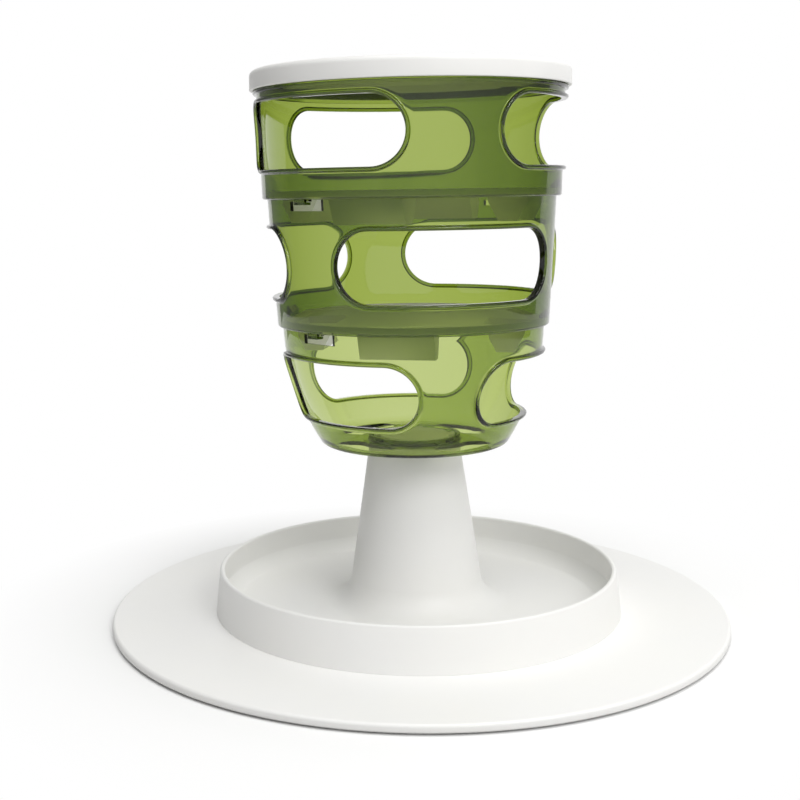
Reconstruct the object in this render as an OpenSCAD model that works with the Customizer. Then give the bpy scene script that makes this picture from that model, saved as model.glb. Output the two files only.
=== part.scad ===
// Puzzle feeder for dry food. Food goes in under the lid and is pawed down through three
// windowed tiers and two drop discs, until it falls through the lower floor into the dish.
// Millimetres, +Z up. The origin is the centre of the footprint on the floor, the front faces -Y.
// Azimuths are degrees from the front, positive towards +X.

/* [Base plate] */
// Diameter of the plate that the feeder stands on
plate_d = 360; // [320:1:420]
// Height of the plate's edge
plate_t = 4.5; // [3.6:0.1:8]
// Thickness of the plate's top skin, above its ribs
plate_skin = 2.4; // [1.6:0.1:3]
// Rounding of the plate's upper edge
plate_edge_r = 2.2; // [0.6:0.1:3]
// Thickness of the ribs under the plate
rib_t = 1.8; // [1:0.1:3]
// Number of radial ribs under the plate
rib_n = 12; // [6:1:24]

/* [Foot pads] */
// Number of non-slip pads
pad_n = 6; // [3:1:12]
// Diameter of a pad
pad_d = 18; // [10:0.5:26]
// Height of a pad
pad_h = 2.2; // [1.6:0.1:3]
// How far the pads stand out under the plate
pad_proud = 1; // [0.5:0.1:1.4]
// Distance from the plate's edge to a pad's centre
pad_inset = 22; // [16:1:40]

/* [Dish] */
// Diameter of the dish at its foot
dish_foot_d = 239; // [210:1:280]
// How far the dish's wall leans in from its foot to its rim
dish_draw = 2.5; // [0.5:0.1:6]
// Height of the dish above the plate
dish_h = 24.8; // [20:0.1:40]
// Wall of the dish
dish_wall = 2.8; // [2:0.1:4]
// Thickness of the dish's floor
dish_floor_t = 3.5; // [2:0.1:6]
// Radius of the curve from the floor of the dish to its rim
bowl_r = 19; // [10:0.5:24]

/* [Column] */
// Height of the column's shoulder above the plate
column_h = 97.3; // [70:0.1:140]
// Diameter of the column at its shoulder
column_top_d = 53.4; // [50:0.2:66]
// Diameter of the column where it would meet the plate
column_base_d = 82; // [70:0.5:100]
// Wall of the column
column_wall = 2.8; // [2:0.1:4]
// Fillet between the column and the floor of the dish
column_fillet_r = 16; // [6:0.5:22]
// Diameter of the spigot that holds the lower tier
spigot_d = 42; // [34:0.5:44]
// Number of lugs round the spigot
lug_n = 4; // [3:1:4]
// Half the angle that a lug covers
lug_half = 12; // [6:0.5:16]
// How far a lug reaches out from the spigot
lug_reach = 3; // [2:0.1:4]
// Thickness of a lug
lug_t = 2.2; // [1.5:0.1:4]

/* [Tiers] */
// Wall of the three tiers
wall_t = 2.3; // [1.8:0.1:3]
// Diameter of the lower tier where its wall leaves the bottom corner
lower_base_d = 112; // [104:0.5:124]
// Diameter of the lower tier's rim
lower_rim_d = 154.8; // [148:0.2:162]
// Height of the lower tier
lower_h = 71.8; // [64:0.1:90]
// Outward bow of the lower tier's wall
lower_bow = 5; // [1:0.1:7]
// Radius of the lower tier's bottom corner
lower_corner_r = 4.5; // [3.5:0.1:8]
// Diameter of the middle tier's rim
middle_rim_d = 171.2; // [166:0.2:180]
// Height of the middle tier
middle_h = 76.1; // [66:0.1:95]
// Diameter of the top tier's rim
top_rim_d = 183.8; // [178:0.2:192]
// Height of the top tier
top_h = 73; // [64:0.1:90]
// Height over which a tier's skirt laps the rim below
skirt_lap = 1.3; // [0.3:0.1:2.5]
// Number of stops inside a tier that rest over the disc below
stop_n = 2; // [2:1:6]
// Angle from a lock round to the first stop
stop_turn = 120; // [20:5:160]
// Half the angle of a stop
stop_half = 6; // [3:0.5:20]
// Width of a stop
stop_w = 2.6; // [2:0.1:4]
// Thickness of a stop at its edge
stop_t = 1.4; // [1:0.1:3]

/* [Windows] */
// Number of windows round each tier
window_n = 3; // [2:1:3]
// Azimuth of the first window of the lower and top tiers
window_az = -44; // [-60:1:60]
// Turn of the middle tier's windows from the others
window_stagger = 60.5; // [40:0.5:80]
// Half the angle of a window of the lower tier
lower_window_half = 46; // [34:0.5:50]
// Half the angle of a window of the middle tier
middle_window_half = 46.5; // [34:0.5:50]
// Half the angle of a window of the top tier
top_window_half = 42.5; // [34:0.5:50]
// Wall left under a window of the lower tier
lower_sill = 18.3; // [14:0.1:26]
// Wall left over a window of the lower tier
lower_head = 18.1; // [14:0.1:28]
// Wall left under a window of the middle tier
middle_sill = 17.5; // [13:0.1:26]
// Wall left over a window of the middle tier
middle_head = 18.6; // [14:0.1:28]
// Wall left under a window of the top tier
top_sill = 17.3; // [13:0.1:26]
// Wall left over a window of the top tier
top_head = 16.7; // [15:0.1:24]
// Width of the lip round a window
lip_w = 2.4; // [1.2:0.1:3]
// How far the lip stands out from the wall
lip_h = 2; // [0.8:0.1:3]

/* [Bayonet locks] */
// Number of locks round each joint of the tiers
lock_n = 2; // [2:1:4]
// Turn of the first lock from the first window of the lower tier
lock_turn = -0.3; // [-10:0.1:10]
// Half the angle of a tongue
tongue_half = 2.8; // [2:0.1:4]
// How far a tongue hangs below its skirt
tongue_h = 2.9; // [2.4:0.1:6]
// Thickness of a tongue's hook
hook_t = 1.5; // [1:0.1:2.2]
// Turn of a tongue from its rest to the closed end of its slot
lock_close = 5; // [3:0.1:8]
// Turn of a tongue from its rest to its way out
lock_open = 6.2; // [6:0.1:9]
// Height of a slot
slot_h = 5.3; // [4.4:0.1:7]

/* [Drop discs] */
// Thickness of a disc
disc_t = 2; // [1.4:0.1:3]
// Height of the rim round a disc
disc_rim_h = 3.6; // [2.6:0.1:6]
// Width of the rim round a disc
disc_rim_w = 2.2; // [1.5:0.1:4]
// Number of chutes in a disc
chute_n = 4; // [2:1:4]
// Azimuth of the middle disc's first chute
middle_chute_az = -8; // [-45:1:45]
// Azimuth of the top disc's first chute
top_chute_az = -19; // [-45:1:45]
// Width of a chute across the disc
chute_w = 42; // [26:0.5:46]
// Reach of a chute along the disc's radius
chute_l = 29; // [22:0.5:32]
// Distance from the disc's edge to a chute
chute_edge = 7; // [6:0.5:12]
// How far a chute hangs below its disc
chute_drop = 15.8; // [10:0.1:20]
// Wall of a chute
chute_wall = 1.6; // [1.2:0.1:2.4]
// Width of the gap at the bottom of a chute
chute_gap = 7; // [5:0.5:10]

/* [Lower floor] */
// Number of holes that drop food into the dish
drop_n = 4; // [3:1:4]
// Width of a hole along the radius
drop_w = 17; // [10:0.5:19]
// Distance from the flat floor's edge to a hole
drop_edge = 3; // [2:0.5:6]
// Half the angle between the centres of a hole's round ends
drop_half = 16; // [6:0.5:20]
// Height of the ring round the hub
hub_h = 3; // [1:0.1:6]
// Wall of the ring round the hub
hub_wall = 2; // [1.2:0.1:3]

/* [Lid] */
// Height of the lid's side
lid_h = 11.8; // [8:0.1:14]
// Thickness of the lid's roof
lid_t = 2.8; // [1.8:0.1:4]
// Wall of the lid's side
lid_wall = 2.6; // [1.8:0.1:4]
// Rounding of the lid's upper edge
lid_edge_r = 3.4; // [1:0.1:4]
// Height of the ring under the lid's roof that fits inside the top tier's rim
lid_ring_h = 4.8; // [3:0.1:8]
// Thickness of that ring
lid_ring_t = 1.6; // [1.2:0.1:2.4]
// Half the angle of a ridge that the lid's edge comes down on
ridge_half = 41; // [10:0.5:60]
// Thickness of a ridge
ridge_t = 2.4; // [1:0.1:3]
// How far a ridge stands out from the wall
ridge_h = 2; // [1.2:0.1:3]

/* [Fits] */
// Gap between faces that rest on each other across a joint
seat_gap = 0.2; // [0.1:0.05:0.4]
// Gap between a rim and the skirt round it
fit = 0.6; // [0.4:0.05:1]
// Gap on both sides of the top tier's rim, inside the lid
lid_fit = 0.7; // [0.4:0.05:1.2]
// Gap round the spigot, the lugs, the hooks and the ring inside the dish's foot
lock_fit = 0.4; // [0.25:0.05:0.6]
// Gap round a pad in its recess
press_fit = 0.1; // [0.05:0.05:0.3]

/* [Hidden] */
$fn = 128;

white = [0.93, 0.93, 0.91];
green = [0.47, 0.63, 0.21, 0.6];
rubber = [0.2, 0.2, 0.21];

// A cut runs this far past the face that it opens, and a piece this far into the one it grows from
over = 1;
// A tongue is set back this far from both faces of its skirt
tongue_inset = 0.2;
// A straight cut for a slot runs this far past both faces of the round wall
slot_depth = 3;
// Least width of the hollow behind the dish's bowl
hollow_slot = 0.8;
// Straight steps in a curve of a profile
arc_n = 8;

// Heights, from the floor up
deck_z = pad_proud + plate_t;
dish_floor_z = deck_z + dish_floor_t;
dish_rim_z = deck_z + dish_h;
shoulder_z = deck_z + column_h;
lower_z = shoulder_z + seat_gap;
lower_rim_z = lower_z + lower_h;
middle_disc_z = lower_rim_z + seat_gap;
middle_z = lower_rim_z - skirt_lap;
middle_rim_z = middle_z + middle_h;
top_disc_z = middle_rim_z + seat_gap;
top_z = middle_rim_z - skirt_lap;
top_rim_z = top_z + top_h;
lid_roof_z = top_rim_z + seat_gap;
lid_top_z = lid_roof_z + lid_t;
lid_z = lid_top_z - lid_h;
lug_z = lower_z + wall_t + lock_fit;

// Radii
spigot_r = spigot_d / 2;
lug_r = spigot_r + lug_reach;
notch_r = lug_r + lock_fit;
hub_r = notch_r + over;
lower_rim_r = lower_rim_d / 2;
middle_foot_r = lower_rim_r + fit + wall_t;
middle_rim_r = middle_rim_d / 2;
top_foot_r = middle_rim_r + fit + wall_t;
top_rim_r = top_rim_d / 2;
lid_in_r = top_rim_r + lid_fit;
lid_r = lid_in_r + lid_wall;
// The ring inside the dish's foot clears the leaning wall at its own top
dish_lean = dish_draw / dish_h;
locating_r = dish_foot_d / 2 - dish_wall - dish_lean * rib_t - lock_fit;

function reversed(list) = [for (i = [len(list) - 1 : -1 : 0]) list[i]];

// Points of a profile's curve round a centre, from one angle to another
function arc(centre, r, from, to) =
    [for (i = [0 : arc_n]) let (a = from + (to - from) * i / arc_n) centre + r * [cos(a), sin(a)]];

// Points from p to q, bowed to the right of the way by s
function bowed(p, q, s) =
    [for (i = [0 : arc_n]) let (t = i / arc_n) p + t * (q - p) + 4 * s * t * (1 - t) * right_of(p, q)];
function right_of(p, q) = [q[1] - p[1], p[0] - q[0]] / norm(q - p);

// Lean of a bowed wall from the vertical, where it starts
function lean(p, q, s) = let (t = q - p + 4 * s * right_of(p, q)) atan2(t[0], t[1]);

// Outlines of the tiers' walls, as [radius, height] from the foot to the rim
lower_top = [lower_rim_r, lower_rim_z];
lower_lean = lean([lower_base_d / 2, lower_z + lower_corner_r], lower_top, lower_bow);
lower_bottom = [lower_base_d / 2, lower_z + lower_corner_r * (1 - sin(lower_lean))];
lower_line = bowed(lower_bottom, lower_top, lower_bow);
lower_flat_r = lower_bottom[0] - lower_corner_r * cos(lower_lean);
lower_corner = [lower_flat_r, lower_z + lower_corner_r];
middle_line = [[middle_foot_r, middle_z], [middle_rim_r, middle_rim_z]];
top_line = [[top_foot_r, top_z], [top_rim_r, top_rim_z]];

// Sections of the tiers' walls, and of the lower tier's floor with its rounded corner
function wall_section(line) = concat(line, reversed(moved(line, -wall_t)));
lower_section = concat(
    [[0, lower_z]],
    arc(lower_corner, lower_corner_r, -90, -lower_lean),
    [for (i = [1 : arc_n]) lower_line[i]],
    reversed([for (p = lower_line) if (p[1] > lower_corner[1] + over) p - [wall_t, 0]]),
    arc(lower_corner, lower_corner_r - wall_t, -lower_lean, -90),
    [[0, lower_z + wall_t]]
);

function radius_at(line, z) = lookup(z, [for (p = line) [p[1], p[0]]]);
function moved(line, dr) = [for (p = line) p + [dr, 0]];

// A ring round the axis between two copies of an outline, moved by d0 and d1
module band(line, d0, d1)
    rotate_extrude()
        polygon(concat(moved(line, d1), reversed(moved(line, d0))));

// Part of a ring, from one azimuth to another
module sector(r0, r1, z0, z1, from, to)
    rotate([0, 0, from - 90])
        rotate_extrude(angle = to - from)
            translate([r0, z0])
                square([r1 - r0, z1 - z0]);

// A round bar along the radius
module radial_bar(az, z, r, r0, r1)
    rotate([0, 0, az])
        translate([0, -r0, z])
            rotate([90, 0, 0])
                cylinder(h = r1 - r0, r = r);

module around(n, first)
    for (i = [0 : n - 1])
        rotate([0, 0, first + i * 360 / n])
            children();

// The space of one window at azimuth 0: a level strip with a round end at each side.
// grow widens it all round, for its lip.
module window_space(line, z0, z1, half, grow) {
    zc = (z0 + z1) / 2;
    hh = (z1 - z0) / 2;
    r = radius_at(line, zc);
    end = half - asin(hh / r);
    r_in = r / 3;
    r_out = r * 4 / 3;
    sector(r_in, r_out, z0 - grow, z1 + grow, -end, end);
    for (side = [-1, 1])
        radial_bar(side * end, zc, hh + grow, r_in, r_out);
}

// A tier's wall with its windows, each in a lip that stands out from the wall.
// The wall is turned so that its revolve starts inside a window. Children are cut out of it too.
module windowed_wall(section, line, z0, z1, half, first)
    difference() {
        union() {
            rotate([0, 0, first])
                rotate_extrude()
                    polygon(section);
            around(window_n, first)
                intersection() {
                    window_space(line, z0, z1, half, lip_w);
                    band(line, -wall_t / 2, lip_h);
                }
        }
        around(window_n, first)
            window_space(line, z0, z1, half, 0);
        children();
    }

// Bayonet slots under a rim, cut straight through the wall. Each has a level run and a way out
// through the rim.
module lock_slots(line, skirt_z, rim_z) {
    z1 = skirt_z - tongue_h + hook_t + lock_fit;
    z0 = z1 - slot_h;
    r = radius_at(line, z1);
    closed_x = r * sin(-lock_close - tongue_half) - lock_fit;
    way_x0 = r * sin(lock_open - tongue_half) - lock_fit;
    way_x1 = r * sin(lock_open + tongue_half) + lock_fit;
    around(lock_n, window_az + lock_turn)
        translate([0, wall_t - r + slot_depth, 0])
            rotate([90, 0, 0])
                linear_extrude(height = wall_t + 2 * slot_depth)
                    polygon([
                        [closed_x, z0], [way_x1, z0], [way_x1, rim_z + over],
                        [way_x0, rim_z + over], [way_x0, z1], [closed_x, z1]
                    ]);
}

// Tongues under a tier's skirt, hooked into the slots of the tier below
module tongues(below, foot_r, skirt_z) {
    hook_z = skirt_z - tongue_h;
    hook_r = radius_at(below, hook_z) - wall_t + lock_fit;
    around(lock_n, window_az + lock_turn) {
        sector(
            foot_r - wall_t + tongue_inset, foot_r - tongue_inset, hook_z, skirt_z + over,
            -tongue_half, tongue_half
        );
        sector(hook_r, foot_r - wall_t / 2, hook_z, hook_z + hook_t, -tongue_half, tongue_half);
    }
}

// Stops inside a tier, just over the rim of the disc below, with sloping tops
module stops(line, disc_z) {
    z = disc_z + disc_rim_h + seat_gap;
    r = radius_at(line, z) - wall_t;
    around(stop_n, window_az + lock_turn + stop_turn)
        rotate([0, 0, -stop_half - 90])
            rotate_extrude(angle = 2 * stop_half)
                polygon([
                    [r - stop_w, z], [r + wall_t / 2, z],
                    [r + wall_t / 2, z + stop_t + stop_w], [r, z + stop_t + stop_w],
                    [r - stop_w, z + stop_t]
                ]);
}

// Section of a chute, as [radius, height]: sides that close in towards a gap at the bottom.
// inset moves the sides in, past moves the ends out along the sides.
function chute_section(r_out, z, inset, past) =
    let (
        half_gap = chute_gap / 2 + chute_wall,
        mid = r_out - chute_l / 2,
        slope = (chute_l / 2 - half_gap) / (chute_drop + disc_t),
        top = chute_l / 2 - inset + slope * past,
        bottom = half_gap - inset - slope * past,
        z1 = z + disc_t + past,
        z0 = z - chute_drop - past
    )
    [[mid + top, z1], [mid + bottom, z0], [mid - bottom, z0], [mid - top, z1]];

module chute_block(r_out, z, inset, past)
    rotate([90, 0, -90])
        linear_extrude(height = chute_w - 2 * inset, center = true)
            polygon(chute_section(r_out, z, inset, past));

// A disc that lies on a tier's rim, with chutes that drop the food through
module drop_disc(r, z, first)
    difference() {
        union() {
            cylinder(h = disc_t, r = r - disc_rim_w / 2);
            rotate_extrude()
                translate([r - disc_rim_w, 0])
                    square([disc_rim_w, disc_rim_h]);
            translate([0, 0, -z])
                around(chute_n, first)
                    chute_block(r - chute_edge, z, 0, 0);
        }
        translate([0, 0, -z])
            around(chute_n, first)
                chute_block(r - chute_edge, z, chute_wall, over);
    }

// Places of the pads under the plate
module pad_places()
    around(pad_n, 180 / pad_n)
        translate([0, -(plate_d / 2 - pad_inset), 0])
            children();

module base_plate()
    color(white) {
        r = plate_d / 2;
        rib_ring_r = r - 2 * pad_inset;
        difference() {
            rotate_extrude()
                polygon(concat(
                    [[0, pad_proud], [r - rib_t / 2, pad_proud], [r, pad_proud + rib_t / 2]],
                    arc([r - plate_edge_r, deck_z - plate_edge_r], plate_edge_r, 0, 90),
                    [[0, deck_z]]
                ));
            difference() {
                translate([0, 0, pad_proud - over])
                    cylinder(h = plate_t - plate_skin + over, r = r - 2 * rib_t);
                for (ring_r = [rib_ring_r, locating_r, column_base_d / 2])
                    rotate_extrude()
                        translate([ring_r - rib_t, 0])
                            square([rib_t, deck_z]);
                around(rib_n, 0)
                    translate([-rib_t / 2, -r, 0])
                        cube([rib_t, r - (column_base_d - rib_t) / 2, deck_z]);
                pad_places()
                    cylinder(h = deck_z, d = pad_d + 2 * rib_t);
            }
            pad_places()
                cylinder(h = pad_h, d = pad_d + 2 * press_fit);
        }
        // Ring that centres the dish
        translate([0, 0, deck_z - plate_skin])
            rotate_extrude()
                translate([locating_r - rib_t, 0])
                    square([rib_t, plate_skin + rib_t]);
    }

module foot_pads()
    color(rubber)
        pad_places()
            cylinder(h = pad_h, d = pad_d);

// Outer face of the column at a height, where it would reach the plate and above
column_slope = (column_base_d - column_top_d) / 2 / column_h;
function column_r(z) = column_base_d / 2 - column_slope * (z - deck_z);

// Inner face of the dish's outer wall at a height
function foot_wall_r(z) = dish_foot_d / 2 - dish_wall - dish_lean * (z - deck_z);

module dish()
    color(white) {
        foot_r = dish_foot_d / 2;
        rim_r = foot_r - dish_draw;
        lip_r = dish_wall / 2;
        taper = atan(column_slope);
        bowl = [rim_r - dish_wall - bowl_r, dish_floor_z + bowl_r];
        fillet_z = dish_floor_z + column_fillet_r;
        fillet = [column_r(fillet_z) + column_fillet_r / cos(taper), fillet_z];
        spigot_z = lug_z + lug_t;
        // The hollow behind the bowl ends where it has narrowed to a slot
        hollow_r = bowl_r + dish_wall;
        hollow_a = max([
            for (a = [-85 : -28]) let (p = bowl + hollow_r * [cos(a), sin(a)])
                if (p[0] + hollow_slot < foot_wall_r(p[1])) a
        ]);
        hollow_z = bowl[1] + hollow_r * sin(hollow_a);
        difference() {
            rotate_extrude()
                polygon(concat(
                    [[0, deck_z], [foot_r, deck_z]],
                    arc([rim_r - lip_r, dish_rim_z - lip_r], lip_r, 0, 180),
                    arc(bowl, bowl_r, 0, -90),
                    arc(fillet, column_fillet_r, 270, 180 + taper),
                    [[column_top_d / 2, shoulder_z], [spigot_r, shoulder_z], [spigot_r, spigot_z], [0, spigot_z]]
                ));
            // Hollow between the bowl and the outer wall, open below
            rotate_extrude()
                polygon(concat(
                    [[foot_r - dish_wall, deck_z - over], [foot_r - dish_wall, deck_z]],
                    [[foot_wall_r(hollow_z), hollow_z]],
                    arc(bowl, hollow_r, hollow_a, -90),
                    [[bowl[0], deck_z - over]]
                ));
            // Hollow of the column, open below
            rotate_extrude()
                polygon([
                    [0, deck_z - over], [column_r(deck_z) - column_wall, deck_z - over],
                    [column_top_d / 2 - column_wall, shoulder_z - column_wall],
                    [spigot_r - column_wall, shoulder_z - column_wall],
                    [spigot_r - column_wall, spigot_z - column_wall], [0, spigot_z - column_wall]
                ]);
        }
        // Lugs that hold the lower tier's floor down
        around(lug_n, 0)
            sector(spigot_r - column_wall / 2, lug_r, lug_z, lug_z + lug_t, -lug_half, lug_half);
    }

module lower_tier()
    color(green)
        difference() {
            union() {
                windowed_wall(
                    lower_section, lower_line, lower_z + lower_sill, lower_rim_z - lower_head,
                    lower_window_half, window_az
                )
                    lock_slots(lower_line, middle_z, lower_rim_z);
                // Ring that keeps food off the hub
                translate([0, 0, lower_z])
                    cylinder(h = wall_t + hub_h, r = hub_r + hub_wall);
            }
            // Hub: a bore round the spigot, a well for the lugs and a notch for each of them
            translate([0, 0, lower_z - over])
                cylinder(h = wall_t + 2 * over, r = spigot_r + lock_fit);
            translate([0, 0, lower_z + wall_t])
                cylinder(h = hub_h + over, r = hub_r);
            around(lug_n, 180 / lug_n)
                sector(
                    spigot_r, notch_r, lower_z - over, lower_z + wall_t + over,
                    -lug_half - 2 * lock_fit, lug_half + 2 * lock_fit
                );
            // Holes that drop food into the dish
            around(drop_n, 180 / drop_n) {
                drop_out = lower_flat_r - drop_edge;
                drop_mid = drop_out - drop_w / 2;
                sector(
                    drop_out - drop_w, drop_out, lower_z - over, lower_z + wall_t + over, -drop_half, drop_half
                );
                for (side = [-1, 1])
                    rotate([0, 0, side * drop_half])
                        translate([0, -drop_mid, lower_z - over])
                            cylinder(h = wall_t + 2 * over, d = drop_w);
            }
        }

module middle_disc()
    color(white)
        translate([0, 0, middle_disc_z])
            drop_disc(lower_rim_r, middle_disc_z, middle_chute_az);

module middle_tier()
    color(green) {
        windowed_wall(
            wall_section(middle_line), middle_line, middle_z + middle_sill, middle_rim_z - middle_head,
            middle_window_half, window_az + window_stagger
        )
            lock_slots(middle_line, top_z, middle_rim_z);
        stops(middle_line, middle_disc_z);
        tongues(lower_line, middle_foot_r, middle_z);
    }

module top_disc()
    color(white)
        translate([0, 0, top_disc_z])
            drop_disc(middle_rim_r, top_disc_z, top_chute_az);

module top_tier()
    color(green) {
        windowed_wall(
            wall_section(top_line), top_line, top_z + top_sill, top_rim_z - top_head,
            top_window_half, window_az
        );
        stops(top_line, top_disc_z);
        tongues(middle_line, top_foot_r, top_z);
        // Ridges under the lid's edge
        ridge_z = lid_z - seat_gap;
        ridge_r = radius_at(top_line, ridge_z);
        around(2, 90)
            sector(
                ridge_r - wall_t / 2, ridge_r + ridge_h, ridge_z - ridge_t, ridge_z, -ridge_half, ridge_half
            );
    }

module lid()
    color(white) {
        difference() {
            rotate_extrude()
                polygon(concat(
                    [[0, lid_z], [lid_r, lid_z]],
                    arc([lid_r - lid_edge_r, lid_top_z - lid_edge_r], lid_edge_r, 0, 90),
                    [[0, lid_top_z]]
                ));
            translate([0, 0, lid_z - over])
                cylinder(h = lid_roof_z - lid_z + over, r = lid_in_r);
        }
        // Ring inside the top tier's rim
        ring_z = lid_roof_z - lid_ring_h;
        ring_r = radius_at(top_line, ring_z) - wall_t - lid_fit;
        rotate_extrude()
            translate([ring_r - lid_ring_t, ring_z])
                square([lid_ring_t, lid_ring_h + lid_t / 2]);
    }

base_plate();
foot_pads();
dish();
lower_tier();
middle_disc();
middle_tier();
top_disc();
top_tier();
lid();
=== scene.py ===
"""Looks of a puzzle feeder for dry food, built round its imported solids.

Run as a script. Every piece is made at its place in the shared frame: metres, +Z up, front to -Y.
Azimuths are angles from the front, positive towards +X.
"""

import math
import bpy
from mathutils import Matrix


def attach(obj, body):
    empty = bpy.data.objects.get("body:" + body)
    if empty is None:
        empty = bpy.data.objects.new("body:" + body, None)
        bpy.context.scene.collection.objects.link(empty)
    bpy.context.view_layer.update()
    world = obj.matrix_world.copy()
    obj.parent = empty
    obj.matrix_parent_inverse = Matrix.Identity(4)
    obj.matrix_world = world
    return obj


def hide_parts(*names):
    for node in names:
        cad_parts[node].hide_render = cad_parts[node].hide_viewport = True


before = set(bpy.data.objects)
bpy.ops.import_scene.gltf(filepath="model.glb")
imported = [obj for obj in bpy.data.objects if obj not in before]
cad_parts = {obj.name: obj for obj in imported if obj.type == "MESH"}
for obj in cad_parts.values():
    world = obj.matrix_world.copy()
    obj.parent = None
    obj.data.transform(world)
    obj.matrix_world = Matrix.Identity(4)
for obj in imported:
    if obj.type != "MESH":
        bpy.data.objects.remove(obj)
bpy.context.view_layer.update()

from types import SimpleNamespace

import bmesh
import bpy
import numpy as np
from mathutils import Matrix, Vector

bl_info = {
    "name": "Puzzle feeder",
    "version": (1, 0, 0),
    "blender": (4, 5, 0),
    "location": "View3D > Sidebar > Feeder",
    "description": "Builds a puzzle feeder with clear windowed tiers on a column and dish",
    "category": "Add Mesh",
}

MM = 0.001
# Points nearer than this are one point
WELD = 0.002 * MM
# Faces that meet more sharply than this keep a hard edge
HARD_ANGLE = math.radians(38)
# Steps round a turned piece, a drop disc and a pad, and across a tongue
TURN_STEPS = 240
DISC_STEPS = 180
PAD_STEPS = 64
TONGUE_STEPS = 6
# Steps in a quarter turn of a rounded corner, and the radius from which it takes three times as many
CORNER_STEPS = 6
LARGE_CORNER = 4 * MM
# Share of a side that the rounding of one corner may take
CORNER_SHARE = 0.49
# Roundings of small edges and of rims, and the share of a wall that rounds its edge fully
SMALL = 0.4 * MM
SOFT = 0.6 * MM
FULL_ROUND = 0.499
# Steps of a window's edge: along a straight side, round an end, and across the wall beside it
WINDOW_STRAIGHT = 34
WINDOW_END = 30
WALL_RINGS = 8
# How far the windowed part of a wall reaches below its windows, and stays below a rim or ridge
LOWER_REACH = 4.4 * MM
UPPER_REACH = 4.2 * MM
RIM_BAND = 4 * MM
RIDGE_BAND = 1.2 * MM
PLASTIC_IOR = 1.49
WHITE = (1, 1, 1, 1)


def length(name, description, mm):
    return bpy.props.FloatProperty(
        name=name, description=description, default=mm * MM, min=0.0, precision=4,
        subtype="DISTANCE", unit="LENGTH",
    )


def turn(name, description, degrees):
    return bpy.props.FloatProperty(
        name=name, description=description, default=math.radians(degrees), subtype="ANGLE", unit="ROTATION"
    )


def number(name, description, value):
    return bpy.props.IntProperty(name=name, description=description, default=value, min=1)


def tint(name, description, rgb):
    return bpy.props.FloatVectorProperty(
        name=name, description=description, default=rgb, size=3, min=0.0, max=1.0, subtype="COLOR"
    )


def density(name, description, per_metre):
    return bpy.props.FloatProperty(name=name, description=description, default=per_metre, min=0.0)


class FeederBaseSizes(bpy.types.PropertyGroup):
    """Sizes of the plate, its pads, the dish and the column"""

    plate_d: length("Plate diameter", "Diameter of the plate", 360)
    plate_t: length("Plate height", "Height of the plate's edge", 4.5)
    plate_skin: length("Plate skin", "Thickness of the plate above its ribs", 2.4)
    plate_edge_r: length("Plate edge", "Rounding of the plate's upper edge", 2.2)
    rib_t: length("Rib thickness", "Thickness of the ribs under the plate", 1.8)
    rib_n: number("Ribs", "Radial ribs under the plate", 12)
    pad_n: number("Pads", "Pads under the plate", 6)
    pad_d: length("Pad diameter", "Diameter of a pad", 18)
    pad_h: length("Pad height", "Height of a pad", 2.2)
    pad_proud: length("Pad proud", "How far a pad stands out under the plate", 1)
    pad_inset: length("Pad inset", "From the plate's edge to a pad's centre", 22)
    dish_foot_d: length("Dish foot", "Diameter of the dish at its foot", 239)
    dish_rim_d: length("Dish rim", "Diameter of the dish at its rim", 234)
    dish_h: length("Dish height", "Height of the dish above the plate", 24.8)
    dish_wall: length("Dish wall", "Wall of the dish", 2.8)
    dish_floor_t: length("Dish floor", "Thickness of the dish's floor", 3.5)
    bowl_r: length("Bowl curve", "Radius between the dish's floor and its rim", 19)
    column_h: length("Column height", "Height of the shoulder above the plate", 97.3)
    column_top_d: length("Column top", "Diameter of the column at its shoulder", 53.4)
    column_base_d: length("Column base", "Diameter of the column down at the plate", 82)
    column_wall: length("Column wall", "Wall of the column", 2.8)
    column_fillet_r: length("Column fillet", "Curve from the column to the dish's floor", 16)
    spigot_d: length("Spigot", "Diameter of the spigot on the column", 42)
    lug_n: number("Lugs", "Lugs round the spigot", 4)
    lug_half: turn("Lug half angle", "Half the angle that a lug covers", 12)
    lug_reach: length("Lug reach", "How far a lug stands out of the spigot", 3)
    lug_t: length("Lug thickness", "Thickness of a lug", 2.2)


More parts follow.
